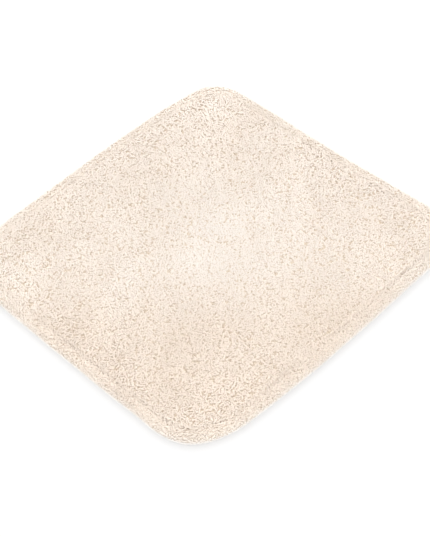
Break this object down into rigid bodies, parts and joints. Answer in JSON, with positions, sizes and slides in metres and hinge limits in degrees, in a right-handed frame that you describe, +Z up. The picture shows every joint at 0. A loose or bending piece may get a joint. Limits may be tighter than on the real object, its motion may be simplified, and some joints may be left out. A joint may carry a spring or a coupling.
{
  "type": "bath mat",
  "caption": "Square tufted bath mat with rounded corners: short curly pile, a rolled hemmed rim and a non-slip rubber-coated back.",
  "frame": {"origin": "on the floor, under the middle of the mat", "axes": "+Z up through the pile; X and Y along the sides; the care label is under the middle of the +Y side"},
  "size_m": [0.6, 0.6, 0.018],
  "materials": {
    "pile_yarn": "soft matt cream cotton yarn",
    "backing_cloth": "plain woven natural cotton cloth",
    "rubber_film": "matt natural white latex film",
    "sewing_thread": "spun sewing thread",
    "label_tape": "blank white satin tape"
  },
  "bodies": {
    "root": {"pile_field": "pile_yarn", "pile_rim": "pile_yarn", "back_stitches": "pile_yarn", "primary_backing": "backing_cloth", "latex_coat": "rubber_film", "overlock_thread": "sewing_thread", "hem_needle_thread": "sewing_thread", "hem_bobbin_thread": "sewing_thread", "care_label": "label_tape"}
  },
  "joints": []
}
